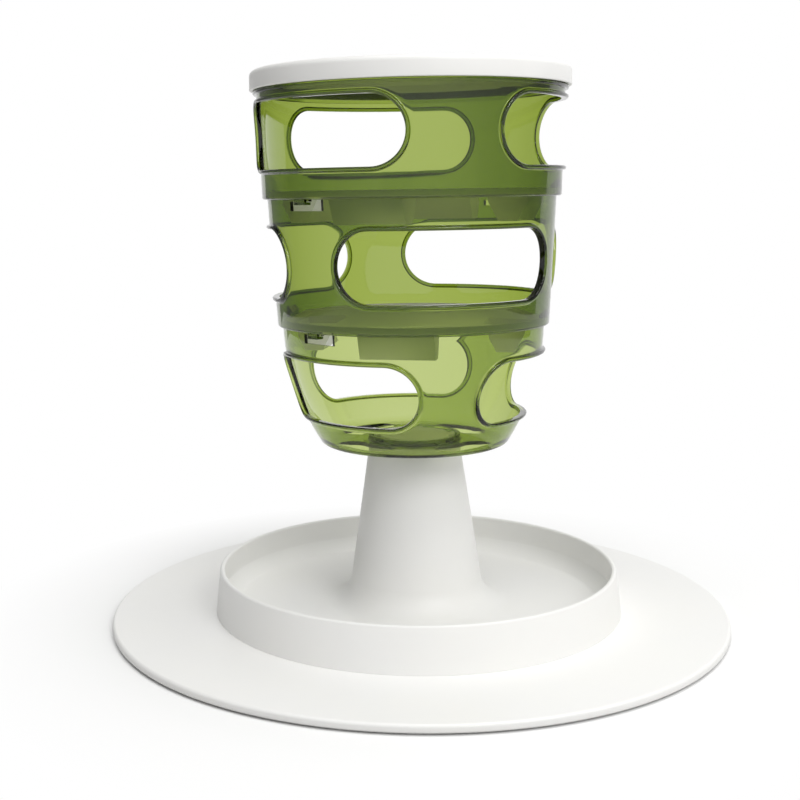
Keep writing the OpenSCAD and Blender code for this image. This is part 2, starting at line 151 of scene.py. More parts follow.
class FeederTierSizes(bpy.types.PropertyGroup):
    """Sizes of the tiers, their windows and locks, the drop discs and the lid"""

    wall_t: length("Wall", "Wall of the tiers", 2.3)
    lower_base_d: length("Lower base", "Diameter where the lower wall leaves its corner", 112)
    lower_rim_d: length("Lower rim", "Diameter of the lower tier's rim", 154.8)
    lower_h: length("Lower height", "Height of the lower tier", 71.8)
    lower_bow: length("Lower bow", "Outward bow of the lower wall", 5)
    lower_corner_r: length("Lower corner", "Radius of the lower tier's bottom corner", 4.5)
    middle_rim_d: length("Middle rim", "Diameter of the middle tier's rim", 171.2)
    middle_h: length("Middle height", "Height of the middle tier", 76.1)
    top_rim_d: length("Top rim", "Diameter of the top tier's rim", 183.8)
    top_h: length("Top height", "Height of the top tier", 73)
    skirt_lap: length("Skirt lap", "How far a skirt laps the rim below", 1.3)
    stop_n: number("Stops", "Stops inside a tier, over the disc below", 2)
    stop_turn: turn("Stop turn", "From a lock round to the first stop", 120)
    stop_half: turn("Stop half angle", "Half the angle of a stop", 6)
    stop_w: length("Stop width", "Width of a stop", 2.6)
    stop_t: length("Stop thickness", "Thickness of a stop at its edge", 1.4)
    window_n: number("Windows", "Windows round a tier", 3)
    window_az: turn("Window azimuth", "First window of the lower and top tiers", -44)
    window_stagger: turn("Window stagger", "Turn of the middle windows from the others", 60.5)
    lower_half: turn("Lower window", "Half the angle of a lower window", 46)
    middle_half: turn("Middle window", "Half the angle of a middle window", 46.5)
    top_half: turn("Top window", "Half the angle of a top window", 42.5)
    lower_sill: length("Lower sill", "Wall under a lower window", 18.3)
    lower_head: length("Lower head", "Wall over a lower window", 18.1)
    middle_sill: length("Middle sill", "Wall under a middle window", 17.5)
    middle_head: length("Middle head", "Wall over a middle window", 18.6)
    top_sill: length("Top sill", "Wall under a top window", 17.3)
    top_head: length("Top head", "Wall over a top window", 16.7)
    lip_w: length("Lip width", "Width of a window's rolled lip", 2.4)
    lip_h: length("Lip height", "How far a lip stands out from the wall", 2)
    lock_n: number("Locks", "Bayonet locks round a joint", 2)
    lock_turn: turn("Lock turn", "First lock from the first window", -0.3)
    tongue_half: turn("Tongue half angle", "Half the angle of a tongue", 2.8)
    tongue_h: length("Tongue", "How far a tongue hangs below its skirt", 2.9)
    hook_t: length("Hook", "Thickness of a tongue's hook", 1.5)
    lock_close: turn("Lock close", "Turn of a tongue to its closed end", 5)
    lock_open: turn("Lock open", "Turn of a tongue to its way out", 6.2)
    slot_h: length("Slot height", "Height of a slot", 5.3)
    disc_t: length("Disc thickness", "Thickness of a drop disc", 2)
    disc_rim_h: length("Disc rim height", "Height of a disc's rim", 3.6)
    disc_rim_w: length("Disc rim width", "Width of a disc's rim", 2.2)
    chute_n: number("Chutes", "Chutes in a disc", 4)
    middle_chute_az: turn("Middle chutes", "First chute of the middle disc", -8)
    top_chute_az: turn("Top chutes", "First chute of the top disc", -19)
    chute_w: length("Chute width", "Width of a chute across the disc", 42)
    chute_l: length("Chute length", "Reach of a chute along the radius", 29)
    chute_edge: length("Chute edge", "From the disc's edge to a chute", 7)
    chute_drop: length("Chute drop", "How far a chute hangs below its disc", 15.8)
    chute_wall: length("Chute wall", "Wall of a chute", 1.6)
    chute_gap: length("Chute gap", "Gap at the bottom of a chute", 7)
    drop_n: number("Floor holes", "Holes in the lower floor", 4)
    drop_w: length("Floor hole width", "Width of a floor hole along the radius", 17)
    drop_edge: length("Floor hole edge", "From the flat floor's edge to a hole", 3)
    drop_half: turn("Floor hole half angle", "Half the angle between a hole's round ends", 16)
    hub_h: length("Hub height", "Height of the ring round the hub", 3)
    hub_wall: length("Hub wall", "Wall of the ring round the hub", 2)
    lid_h: length("Lid height", "Height of the lid's side", 11.8)
    lid_t: length("Lid roof", "Thickness of the lid's roof", 2.8)
    lid_wall: length("Lid wall", "Wall of the lid's side", 2.6)
    lid_edge_r: length("Lid edge", "Rounding of the lid's upper edge", 3.4)
    lid_ring_h: length("Lid ring height", "Height of the ring inside the top tier's rim", 4.8)
    lid_ring_t: length("Lid ring thickness", "Thickness of the ring inside the top tier's rim", 1.6)
    ridge_half: turn("Ridge half angle", "Half the angle of a ridge under the lid", 41)
    ridge_t: length("Ridge thickness", "Thickness of a ridge", 2.4)
    ridge_h: length("Ridge height", "How far a ridge stands out", 2)
    seat_gap: length("Seat gap", "Gap between faces that rest across a joint", 0.2)
    fit: length("Skirt fit", "Gap between a rim and the skirt round it", 0.6)
    lid_fit: length("Lid fit", "Gap on both sides of the top rim, inside the lid", 0.7)
    lock_fit: length("Lock fit", "Gap round the lugs, the hooks and the ring inside the dish's foot", 0.4)
    press_fit: length("Press fit", "Gap round a pad in its recess", 0.1)


class FeederColours(bpy.types.PropertyGroup):
    """Colours of the finishes"""

    white: tint("White plastic", "Plate, dish, discs and lid", (0.86, 0.857, 0.84))
    white_warm: tint("White plastic, warm", "Faint cloudiness of the white plastic", (0.87, 0.864, 0.838))
    clear: tint("Clear surface", "Surface of the clear tiers", (0.93, 0.978, 0.82))
    green: tint("Green depth", "What the clear plastic lets through", (0.573, 0.651, 0.04))
    green_depth: density("Green density", "How fast the upper tiers take up light, per metre", 1000.0)
    pale_depth: density(
        "Pale green density", "How fast the paler lower tier takes up light, per metre", 620.0
    )
    rubber: tint("Rubber", "Pads under the plate", (0.035, 0.035, 0.038))
    floor: tint("Floor", "Floor that the feeder stands on", (0.93, 0.93, 0.925))


def base_layout(scene):
    """Heights and radii that follow from the sizes of the lower pieces"""
    s, t = scene.feeder_base, scene.feeder_tiers
    g = SimpleNamespace(s=s)
    g.deck_z = s.pad_proud + s.plate_t
    g.floor_z = g.deck_z + s.dish_floor_t
    g.rim_z = g.deck_z + s.dish_h
    g.shoulder_z = g.deck_z + s.column_h
    g.lower_z = g.shoulder_z + t.seat_gap
    g.lug_z = g.lower_z + t.wall_t + t.lock_fit
    g.spigot_z = g.lug_z + s.lug_t
    g.spigot_r = s.spigot_d / 2
    g.lug_r = g.spigot_r + s.lug_reach
    lean = (s.dish_foot_d - s.dish_rim_d) / 2 / s.dish_h
    g.locating_r = s.dish_foot_d / 2 - s.dish_wall - lean * s.rib_t - t.lock_fit
    slope = (s.column_base_d - s.column_top_d) / 2 / s.column_h
    g.column_r = lambda z: s.column_base_d / 2 - slope * (z - g.deck_z)
    return g


class Wall:
    """The outline of a tier's outer face, as radius over height"""

    def __init__(self, *points):
        self.r, self.z = np.array(points).T

    def radius(self, z):
        return np.interp(z, self.z, self.r)

    def between(self, z0, z1, steps):
        """Points of the outline from one height to another"""
        return [(self.radius(z), z) for z in np.linspace(z0, z1, steps + 1)]


def bowed(p, q, bow, steps=96):
    """Points from p to q, bowed to the right of the way"""
    p, q = np.array(p), np.array(q)
    d = q - p
    right = np.array([d[1], -d[0]]) / np.hypot(*d)
    t = np.linspace(0, 1, steps + 1)[:, None]
    return p + t * d + 4 * bow * t * (1 - t) * right


def tier_layout(scene):
    """Heights, radii and outlines that follow from the sizes of the tiers"""
    t = scene.feeder_tiers
    base = base_layout(scene)
    g = SimpleNamespace(t=t, base=base)
    g.lower_z = base.lower_z
    g.lower_rim_z = g.lower_z + t.lower_h
    g.middle_disc_z = g.lower_rim_z + t.seat_gap
    g.middle_z = g.lower_rim_z - t.skirt_lap
    g.middle_rim_z = g.middle_z + t.middle_h
    g.top_disc_z = g.middle_rim_z + t.seat_gap
    g.top_z = g.middle_rim_z - t.skirt_lap
    g.top_rim_z = g.top_z + t.top_h
    g.lid_roof_z = g.top_rim_z + t.seat_gap
    g.lid_top_z = g.lid_roof_z + t.lid_t
    g.lid_z = g.lid_top_z - t.lid_h
    g.lower_rim_r, g.middle_rim_r, g.top_rim_r = t.lower_rim_d / 2, t.middle_rim_d / 2, t.top_rim_d / 2
    g.middle_foot_r = g.lower_rim_r + t.fit + t.wall_t
    g.top_foot_r = g.middle_rim_r + t.fit + t.wall_t
    g.notch_r = base.lug_r + t.lock_fit
    g.hub_r = g.notch_r + MM
    g.lock_az = t.window_az + t.lock_turn
    # The lower wall springs from its bottom corner at the lean that its bow gives it
    base_r = t.lower_base_d / 2
    rim = (g.lower_rim_r, g.lower_rim_z)
    d = np.array(rim) - (base_r, g.lower_z + t.lower_corner_r)
    tangent = d + 4 * t.lower_bow * np.array([d[1], -d[0]]) / np.hypot(*d)
    g.lower_lean = math.atan2(*tangent)
    g.lower_flat_r = base_r - t.lower_corner_r * math.cos(g.lower_lean)
    spring_z = g.lower_z + t.lower_corner_r * (1 - math.sin(g.lower_lean))
    g.lower_spring_z = spring_z
    g.lower_wall = Wall(*bowed((base_r, spring_z), rim, t.lower_bow))
    g.middle_wall = Wall((g.middle_foot_r, g.middle_z), (g.middle_rim_r, g.middle_rim_z))
    g.top_wall = Wall((g.top_foot_r, g.top_z), (g.top_rim_r, g.top_rim_z))
    return g


def arc(centre, r, from_deg, to_deg, steps=CORNER_STEPS):
    """Points of a curve round a centre"""
    a = np.radians(np.linspace(from_deg, to_deg, steps + 1))
    return [(centre[0] + r * math.cos(x), centre[1] + r * math.sin(x)) for x in a]


def soften(soft, corners):
    """Points of an outline given as corners (radius, height). Those between its ends are rounded
    by soft, or by a third value of their own."""
    points = []
    last = len(corners) - 1
    for i, (x, z, *own) in enumerate(corners):
        c = np.array([x, z])
        rounding = own[0] if own else soft
        if rounding <= 0 or i in (0, last):
            points.append((x, z))
            continue
        d0 = np.array(corners[i - 1][:2]) - c
        d1 = np.array(corners[i + 1][:2]) - c
        n0, n1 = np.hypot(*d0), np.hypot(*d1)
        d0, d1 = d0 / n0, d1 / n1
        half = math.acos(np.clip(d0 @ d1, -1, 1)) / 2
        cut = min(rounding / math.tan(half), CORNER_SHARE * n0, CORNER_SHARE * n1)
        r = cut * math.tan(half)
        centre = c + (d0 + d1) / np.hypot(*(d0 + d1)) * r / math.sin(half)
        a0, a1 = (math.atan2(*(c + d * cut - centre)[::-1]) for d in (d0, d1))
        sweep = (a1 - a0 + math.pi) % (2 * math.pi) - math.pi
        more = 1 if r < LARGE_CORNER else 3
        steps = max(2, math.ceil(abs(sweep) / (math.pi / 2) * CORNER_STEPS * more))
        for a in (a0 + sweep * k / steps for k in range(steps + 1)):
            points.append((centre[0] + r * math.cos(a), centre[1] + r * math.sin(a)))
    return points


def ridge(r0, r1, from_z, to_z):
    """Corners of a ring that stands out of a flat face"""
    return [(r0, from_z), (r0, to_z), (r1, to_z), (r1, from_z)]


def at(az, r, z):
    """Points at an azimuth from the front"""
    return np.stack(np.broadcast_arrays(r * np.sin(az), -r * np.cos(az), z), axis=-1)


def strips(rows, wrap):
    """Vertices and faces between rows of points; wrap joins the last point of a row to the first"""
    rows = np.array(rows)
    n_rows, n = rows.shape[:2]
    i, j = np.meshgrid(np.arange(n_rows - 1), np.arange(n if wrap else n - 1), indexing="ij")
    k = (j + 1) % n
    faces = np.stack([i * n + j, i * n + k, (i + 1) * n + k, (i + 1) * n + j], axis=-1)
    return rows.reshape(-1, 3), faces.reshape(-1, 4)


def join(parts):
    """One set of vertices and faces from several"""
    starts = np.cumsum([0] + [len(verts) for verts, _ in parts])
    faces = [faces + start for (_, faces), start in zip(parts, starts)]
    return np.concatenate([verts for verts, _ in parts]), np.concatenate(faces)


def turned(points, steps=TURN_STEPS, forward=0.0):
    """A piece turned round the axis from an outline of (radius, height), then moved to the front"""
    az = np.linspace(0, 2 * math.pi, steps, endpoint=False)
    verts, faces = strips([at(az, r, z) for r, z in points], True)
    verts[:, 1] -= forward
    return verts, faces


def swept(outline, half, steps=8):
    """A block over an outline of (radius, height), swept by half an angle to each side of the front"""
    az = np.linspace(-half, half, steps + 1)
    verts, faces = strips([at(az, r, z) for r, z in outline + outline[:1]], False)
    ends = [[i * (steps + 1) + e for i in range(len(outline))] for e in (0, steps)]
    return verts, faces.tolist() + ends


def sector(r0, r1, z0, z1, half, steps=8):
    """Part of a ring, centred on the front"""
    return swept([(r0, z0), (r1, z0), (r1, z1), (r0, z1)], half, steps)


def prism(outline, lift, place=lambda u, v, w: (u, v, w)):
    """A straight piece over a flat outline; place takes (u, v, w) to a point"""
    n = len(outline)
    verts = np.array([place(u, v, w) for w in lift for u, v in outline])
    faces = [[i, (i + 1) % n, n + (i + 1) % n, n + i] for i in range(n)]
    return verts, faces + [list(range(n)), list(range(n, 2 * n))]


def solid(name, shape, material):
    """An object of welded faces that point outwards"""
    verts, faces = shape
    mesh = bpy.data.meshes.new(name)
    mesh.from_pydata(np.asarray(verts).tolist(), [], [list(f) for f in faces])
    bm = bmesh.new()
    bm.from_mesh(mesh)
    bmesh.ops.remove_doubles(bm, verts=bm.verts, dist=WELD)
    bmesh.ops.dissolve_degenerate(bm, edges=bm.edges, dist=WELD)
    bmesh.ops.recalc_face_normals(bm, faces=bm.faces)
    bm.to_mesh(mesh)
    bm.free()
    mesh.materials.append(material)
    piece = bpy.data.objects.new(name, mesh)
    bpy.context.scene.collection.objects.link(piece)
    return piece


def settle(piece):
    """Turns what the modifiers make into the piece's own mesh"""
    bpy.context.view_layer.update()
    dg = bpy.context.evaluated_depsgraph_get()
    made = piece.evaluated_get(dg)
    mesh = bpy.data.meshes.new_from_object(made, preserve_all_data_layers=True, depsgraph=dg)
    old = piece.data
    piece.modifiers.clear()
    piece.data = mesh
    mesh.name = piece.name
    bpy.data.meshes.remove(old)
    return piece


def new_tree(name, kind, inputs, outputs):
    """A node group with named inputs and outputs, each with its kind of socket"""
    tree = bpy.data.node_groups.new(name, kind)
    for in_out, sockets in (("INPUT", inputs), ("OUTPUT", outputs)):
        for label, socket in sockets.items():
            tree.interface.new_socket(label, in_out=in_out, socket_type=f"NodeSocket{socket}")
    return tree


def feed(tree, node, inputs):
    """Sets a node's inputs to values, or links them to the outputs of other nodes"""
    for label, value in inputs.items():
        if isinstance(value, bpy.types.NodeSocket):
            tree.links.new(value, node.inputs[label])
        else:
            node.inputs[label].default_value = value


def add(tree, kind, inputs=None, **settings):
    """A new node with its settings and inputs. Returns its outputs."""
    node = tree.nodes.new(kind)
    for name, value in settings.items():
        setattr(node, name, value)
    feed(tree, node, inputs or {})
    return node.outputs


def around_tree():
    """Geometry nodes that repeat a piece round the axis"""
    name = "Round the axis"
    if name in bpy.data.node_groups:
        return bpy.data.node_groups[name]
    inputs = {"Piece": "Geometry", "Count": "Int", "First azimuth": "Float", "Material": "Material"}
    tree = new_tree(name, "GeometryNodeTree", inputs, {"Ring": "Geometry"})
    given = add(tree, "NodeGroupInput")
    points = add(tree, "GeometryNodePoints", {"Count": given["Count"]})
    index = add(tree, "GeometryNodeInputIndex")
    step = add(tree, "ShaderNodeMath", {0: 2 * math.pi, 1: given["Count"]}, operation="DIVIDE")
    turns = {0: index[0], 1: step[0], 2: given["First azimuth"]}
    spin = add(tree, "ShaderNodeMath", turns, operation="MULTIPLY_ADD")
    angles = add(tree, "ShaderNodeCombineXYZ", {"Z": spin[0]})
    seats = {"Points": points[0], "Instance": given["Piece"], "Rotation": angles[0]}
    copies = add(tree, "GeometryNodeInstanceOnPoints", seats)
    real = add(tree, "GeometryNodeRealizeInstances", {0: copies[0]})
    paint = add(tree, "GeometryNodeSetMaterial", {"Geometry": real[0], "Material": given["Material"]})
    add(tree, "NodeGroupOutput", {0: paint[0]})
    return tree


def ring_of(name, shape, count, first, material):
    """A piece repeated round the axis, as one plain mesh"""
    piece = solid(name, shape, material)
    tree = around_tree()
    modifier = piece.modifiers.new("Round the axis", "NODES")
    modifier.node_group = tree
    sockets = {i.name: i.identifier for i in tree.interface.items_tree if i.in_out == "INPUT"}
    modifier[sockets["Count"]] = count
    modifier[sockets["First azimuth"]] = first
    modifier[sockets["Material"]] = material
    return settle(piece)


def combine(piece, operation, *rings):
    """Adds rings to a piece, or cuts them out of it. A ring is (name, shape, count, first azimuth)."""
    others = [ring_of(*ring, piece.data.materials[0]) for ring in rings]
    for other in others:
        modifier = piece.modifiers.new("Combine", "BOOLEAN")
        modifier.operation = operation
        modifier.solver = "EXACT"
        modifier.object = other
    settle(piece)
    for other in others:
        mesh = other.data
        bpy.data.objects.remove(other)
        bpy.data.meshes.remove(mesh)
    if not piece.data.polygons:
        raise RuntimeError(f"{piece.name} has no faces left")


def dress(piece, body, node):
    """Smooth shading with hard edges kept, the CAD body that the piece belongs to, and the CAD node that
    it hides
    """
    piece.data.shade_smooth()
    piece.data.set_sharp_from_angle(angle=HARD_ANGLE)
    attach(piece, body)
    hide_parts(node)
    return piece


def moulded_group():
    """Shared surface of moulded plastic: fine grain, slow sink marks and rubbed places"""
    name = "Moulded surface"
    if name in bpy.data.node_groups:
        return bpy.data.node_groups[name]
    inputs = dict.fromkeys(("Grain", "Low roughness", "High roughness"), "Float")
    outputs = dict.fromkeys(("Height", "Cloud", "Roughness"), "Float")
    tree = new_tree(name, "ShaderNodeTree", inputs, outputs)
    given = add(tree, "NodeGroupInput")
    where = add(tree, "ShaderNodeTexCoord")["Object"]

    def noise(scale, detail, roughness):
        inputs = {"Vector": where, "Scale": scale, "Detail": detail, "Roughness": roughness}
        return add(tree, "ShaderNodeTexNoise", inputs)["Fac"]

    grain = noise(scale=2600.0, detail=2.0, roughness=0.5)
    sink = noise(scale=28.0, detail=2.0, roughness=0.5)
    cloud = noise(scale=11.0, detail=4.0, roughness=0.6)
    rub = noise(scale=160.0, detail=6.0, roughness=0.7)
    height = add(tree, "ShaderNodeMix", {"Factor": given["Grain"], "A": sink, "B": grain})
    spread = add(tree, "ShaderNodeMapRange", {"Value": cloud, "From Min": 0.35, "From Max": 0.65})
    shine = add(tree, "ShaderNodeMapRange", {
        "Value": rub, "From Min": 0.3, "From Max": 0.7,
        "To Min": given["Low roughness"], "To Max": given["High roughness"],
    })
    add(tree, "NodeGroupOutput", {
        "Height": height["Result"], "Cloud": spread["Result"], "Roughness": shine["Result"],
    })
    return tree


def opaque(colour, share=1.0):
    """A colour for a node, made lighter or darker by a share"""
    return (*[share * c for c in colour], 1)


def moulded(name, grain, roughness, bump, depth, shade, cloud=None, volume=None):
    """A material on the shared moulded surface, made once. shade holds inputs of its shader, cloud
    the two colours that the surface drifts between, and volume how the plastic takes up light."""
    if name in bpy.data.materials:
        return bpy.data.materials[name]
    material = bpy.data.materials.new(name)
    material.use_nodes = True
    tree = material.node_tree
    low, high = roughness
    inputs = {"Grain": grain, "Low roughness": low, "High roughness": high}
    surface = add(tree, "ShaderNodeGroup", inputs, node_tree=moulded_group())
    inputs = {"Strength": bump, "Distance": depth, "Height": surface["Height"]}
    relief = add(tree, "ShaderNodeBump", inputs)
    shade = {**shade, "Roughness": surface["Roughness"], "Normal": relief["Normal"]}
    if cloud:
        inputs = {"Factor": surface["Cloud"], "A": cloud[0], "B": cloud[1]}
        shade["Base Color"] = add(tree, "ShaderNodeMix", inputs, data_type="RGBA")["Result"]
    if volume:
        takes_up = add(tree, "ShaderNodeVolumeAbsorption", volume)
        feed(tree, tree.nodes["Material Output"], {"Volume": takes_up["Volume"]})
    feed(tree, tree.nodes["Principled BSDF"], shade)
    return material


def white_plastic(scene):
    colours = scene.feeder_colours
    return moulded(
        "Satin white plastic", grain=0.75, roughness=(0.36, 0.48), bump=0.12, depth=0.05 * MM,
        shade={"IOR": PLASTIC_IOR}, cloud=(opaque(colours.white), opaque(colours.white_warm)),
    )


def clear_green(scene, name, per_metre):
    colours = scene.feeder_colours
    return moulded(
        name, grain=0.0, roughness=(0.0, 0.04), bump=0.06, depth=0.3 * MM,
        shade={"Base Color": opaque(colours.clear), "IOR": PLASTIC_IOR, "Transmission Weight": 1.0},
        volume={"Color": opaque(colours.green), "Density": per_metre},
    )


def pad_rubber(scene):
    rubber = scene.feeder_colours.rubber
    return moulded(
        "Pad rubber", grain=0.9, roughness=(0.7, 0.9), bump=0.3, depth=0.08 * MM,
        shade={}, cloud=(opaque(rubber), opaque(rubber, 1.6)),
    )


class FEEDER_OT_base_plate(bpy.types.Operator):
    """Make the ribbed plate that the feeder stands on"""

    bl_idname = "feeder.base_plate"
    bl_label = "Base plate"

    def execute(self, context):
        g = base_layout(context.scene)
        s = g.s
        r = s.plate_d / 2
        under = s.pad_proud
        skin_z = g.deck_z - s.plate_skin
        corners = [(0, skin_z)]
        for ring_r in (s.column_base_d / 2, g.locating_r, r - 2 * s.pad_inset):
            corners += ridge(ring_r - s.rib_t, ring_r, skin_z, under)
        corners += [
            (r - 2 * s.rib_t, skin_z),
            (r - 2 * s.rib_t, under),
            (r - s.rib_t / 2, under),
            (r, under + s.rib_t / 2),
            (r, g.deck_z, s.plate_edge_r),
            *ridge(g.locating_r, g.locating_r - s.rib_t, g.deck_z, g.deck_z + s.rib_t),
            (0, g.deck_z),
        ]
        plate = solid("ribbed_plate", turned(soften(SMALL, corners)), white_plastic(context.scene))
        inner = (s.column_base_d - s.rib_t) / 2
        outer = r - s.rib_t
        half = s.rib_t / 2
        rib = prism(
            [(-half, -outer), (half, -outer), (half, -inner), (-half, -inner)],
            (under, skin_z + s.plate_skin / 2),
        )

        def rod(rod_r, z0, z1):
            """A rod at the place of a pad"""
            outline = [(0, z0), (rod_r, z0), (rod_r, z1), (0, z1)]
            return turned(outline, PAD_STEPS, r - s.pad_inset)

        boss = rod(s.pad_d / 2 + s.rib_t, under, skin_z + SMALL)
        recess = rod(s.pad_d / 2 + context.scene.feeder_tiers.press_fit, 0, s.pad_h)
        first_pad = math.pi / s.pad_n
        combine(plate, "UNION", ("ribs", rib, s.rib_n, 0.0), ("pad_bosses", boss, s.pad_n, first_pad))
        combine(plate, "DIFFERENCE", ("recesses", recess, s.pad_n, first_pad))
        dress(plate, "base", "base_plate")
        return {"FINISHED"}


class FEEDER_OT_foot_pads(bpy.types.Operator):
    """Make the grooved rubber pads under the plate"""

    bl_idname = "feeder.foot_pads"
    bl_label = "Foot pads"

    def execute(self, context):
        s = context.scene.feeder_base
        r = s.pad_d / 2
        groove = 0.5 * MM
        corners = [(0, 0)]
        for ring_r in (r / 3, r * 2 / 3):
            corners += [
                (ring_r - groove, 0),
                (ring_r - groove / 2, groove),
                (ring_r + groove / 2, groove),
                (ring_r + groove, 0),
            ]
        corners += [(r, 0, SMALL), (r, s.pad_h, SMALL), (0, s.pad_h)]
        pad = turned(soften(SMALL / 2, corners), PAD_STEPS, s.plate_d / 2 - s.pad_inset)
        pads = ring_of("grip_pads", pad, s.pad_n, math.pi / s.pad_n, pad_rubber(context.scene))
        dress(pads, "base", "foot_pads")
        return {"FINISHED"}


class FEEDER_OT_dish(bpy.types.Operator):
    """Make the dish with its column and spigot"""

    bl_idname = "feeder.dish"
    bl_label = "Dish and column"

    def execute(self, context):
        g = base_layout(context.scene)
        s = g.s
        foot_r, rim_r = s.dish_foot_d / 2, s.dish_rim_d / 2
        lip_r = FULL_ROUND * s.dish_wall
        bowl = (rim_r - s.dish_wall - s.bowl_r, g.floor_z + s.bowl_r)
        # The hollow under the dish follows the bowl's curve from this angle down to the floor
        hollow_from = -28
        hollow_r = s.bowl_r + s.dish_wall
        hollow_z = bowl[1] + hollow_r * math.sin(math.radians(hollow_from))
        lean = (foot_r - rim_r) / s.dish_h
        top_r = s.column_top_d / 2
        spigot_in = g.spigot_r - s.column_wall
        shoulder_in = g.shoulder_z - s.column_wall
        points = soften(SMALL, [
            (0, g.spigot_z),
            (g.spigot_r, g.spigot_z, 2 * SMALL),
            (g.spigot_r, g.shoulder_z),
            (top_r, g.shoulder_z, 2.5 * SMALL),
            (g.column_r(g.floor_z), g.floor_z, s.column_fillet_r),
            (rim_r - s.dish_wall, g.floor_z, s.bowl_r),
            (rim_r - s.dish_wall, g.rim_z, lip_r),
            (rim_r, g.rim_z, lip_r),
            (foot_r, g.deck_z, SMALL / 2),
            (foot_r - s.dish_wall, g.deck_z, SMALL / 2),
            (foot_r - s.dish_wall - lean * (hollow_z - g.deck_z), hollow_z),
        ])
        points += arc(bowl, hollow_r, hollow_from, -90, steps=14)
        points += [(bowl[0], g.deck_z)]
        points += soften(SMALL, [
            (g.column_r(g.deck_z) - s.column_wall, g.deck_z),
            (top_r - s.column_wall, shoulder_in),
            (spigot_in, shoulder_in),
            (spigot_in, g.spigot_z - s.column_wall),
            (0, g.spigot_z - s.column_wall),
        ])
        dish = solid("dish_and_column", turned(points), white_plastic(context.scene))
        # The lugs stop just under the spigot's top face
        lug_top = g.lug_z + 0.96 * s.lug_t
        lug = sector(g.spigot_r - s.column_wall / 2, g.lug_r, g.lug_z, lug_top, s.lug_half)
        combine(dish, "UNION", ("lugs", lug, s.lug_n, 0.0))
        dress(dish, "base", "dish")
        return {"FINISHED"}


class Window:
    """A window's edge on a wall, and the cell of wall round it"""

    def __init__(self, wall, sill_z, head_z, half):
        self.wall = wall
        self.z = (sill_z + head_z) / 2
        self.h = (head_z - sill_z) / 2
        self.end = half - math.asin(self.h / wall.radius(self.z))

    def edge(self, away):
        """Azimuths and heights round the window, away from its edge"""
        h = self.h + away
        straight = np.linspace(-self.end, self.end, WINDOW_STRAIGHT, endpoint=False)
        a = np.linspace(math.pi / 2, -math.pi / 2, WINDOW_END, endpoint=False)
        az, z = [], []
        for way in (1, -1):
            end_z = self.z + way * h * np.sin(a)
            end_az = self.end + np.arcsin(h * np.cos(a) / self.wall.radius(end_z))
            az += [way * straight, way * end_az]
            z += [np.full_like(straight, self.z + way * h), end_z]
        return np.concatenate(az), np.concatenate(z)

    def cell(self, half, low_z, high_z):
        """Azimuths and heights round the cell, point by point with the edge"""
        straight = np.linspace(-half, half, WINDOW_STRAIGHT, endpoint=False)
        az, z = [], []
        for way, z0, z1 in ((1, high_z, low_z), (-1, low_z, high_z)):
            az += [way * straight, np.full(WINDOW_END, way * half)]
            z += [np.full_like(straight, z0), np.linspace(z0, z1, WINDOW_END, endpoint=False)]
        return np.concatenate(az), np.concatenate(z)


def lip_section(t):
    """A window's rolled lip as (away from the edge, out from the wall), inner face first"""
    inner_r = 0.5 * MM
    crest_r = t.lip_w / 2
    root_r = 0.8 * MM
    return [
        (2 * inner_r, -t.wall_t),
        *arc((inner_r, inner_r - t.wall_t), inner_r, 270, 180, steps=4),
        *arc((crest_r, t.lip_h - crest_r), crest_r, 180, 0, steps=12),
        *arc((t.lip_w + root_r, root_r), root_r, 180, 270, steps=5),
    ]


def windowed_shell(t, window, first, low_z, high_z, foot, rim):
    """A tier's wall: cells with windows between two heights, closed by a foot and a rim. These are
    points (radius, height) from the outer face to the inner one, or give such points for an azimuth."""
    half = math.pi / t.window_n
    section = lip_section(t)
    az1, z1 = window.cell(half, low_z, high_z)

    def side(away, out):
        """Rows on one face of the wall, from the cell's border to the lip"""
        az0, z0 = window.edge(away)
        shares = np.linspace(1, 0, WALL_RINGS, endpoint=False)
        return [(az0 + share * (az1 - az0), z0 + share * (z1 - z0), out) for share in shares]

    rows = side(section[0][0], -t.wall_t)
    rows += [(*window.edge(away), out) for away, out in section]
    rows += side(section[-1][0], 0.0)[::-1]
    parts = []
    for k in range(t.window_n):
        centre = first + 2 * half * k
        cell = [at(centre + az, window.wall.radius(z) + out, z) for az, z, out in rows]
        parts.append(strips(cell, True))
    steps = t.window_n * WINDOW_STRAIGHT
    az = first - half + 2 * math.pi * np.arange(steps) / steps
    for outline in (foot, rim):
        columns = np.array([outline(a) if callable(outline) else outline for a in az])
        parts.append(strips([at(az, r, z) for r, z in columns.transpose(1, 2, 0)], True))
    return join(parts)


def slot_cutter(g, wall, skirt_z, rim_z):
    """The space of one bayonet slot, with its way out through the rim"""
    t = g.t
    z1 = skirt_z - t.tongue_h + t.hook_t + t.lock_fit
    z0 = z1 - t.slot_h
    r = wall.radius(z1)
    closed = r * math.sin(-t.lock_close - t.tongue_half) - t.lock_fit
    way0 = r * math.sin(t.lock_open - t.tongue_half) - t.lock_fit
    way1 = r * math.sin(t.lock_open + t.tongue_half) + t.lock_fit
    top = rim_z + MM
    outline = [(closed, z0), (way1, z0), (way1, top), (way0, top), (way0, z1), (closed, z1)]
    past = 3 * MM
    return prism(outline, (-r + t.wall_t + past, -r - past), lambda u, v, w: (u, w, v))


def tongue(g, below, foot_r, skirt_z):
    """One bayonet tongue with its hook, as two blocks that overlap"""
    t = g.t
    hook_z = skirt_z - t.tongue_h
    hook_r = below.radius(hook_z) - t.wall_t + t.lock_fit
    inset = 0.2 * MM
    across = (t.tongue_half, TONGUE_STEPS)
    stem = sector(foot_r - t.wall_t + inset, foot_r - inset, hook_z, skirt_z + MM, *across)
    hook = sector(hook_r, foot_r - t.wall_t / 2, hook_z, hook_z + t.hook_t, *across)
    return stem, hook


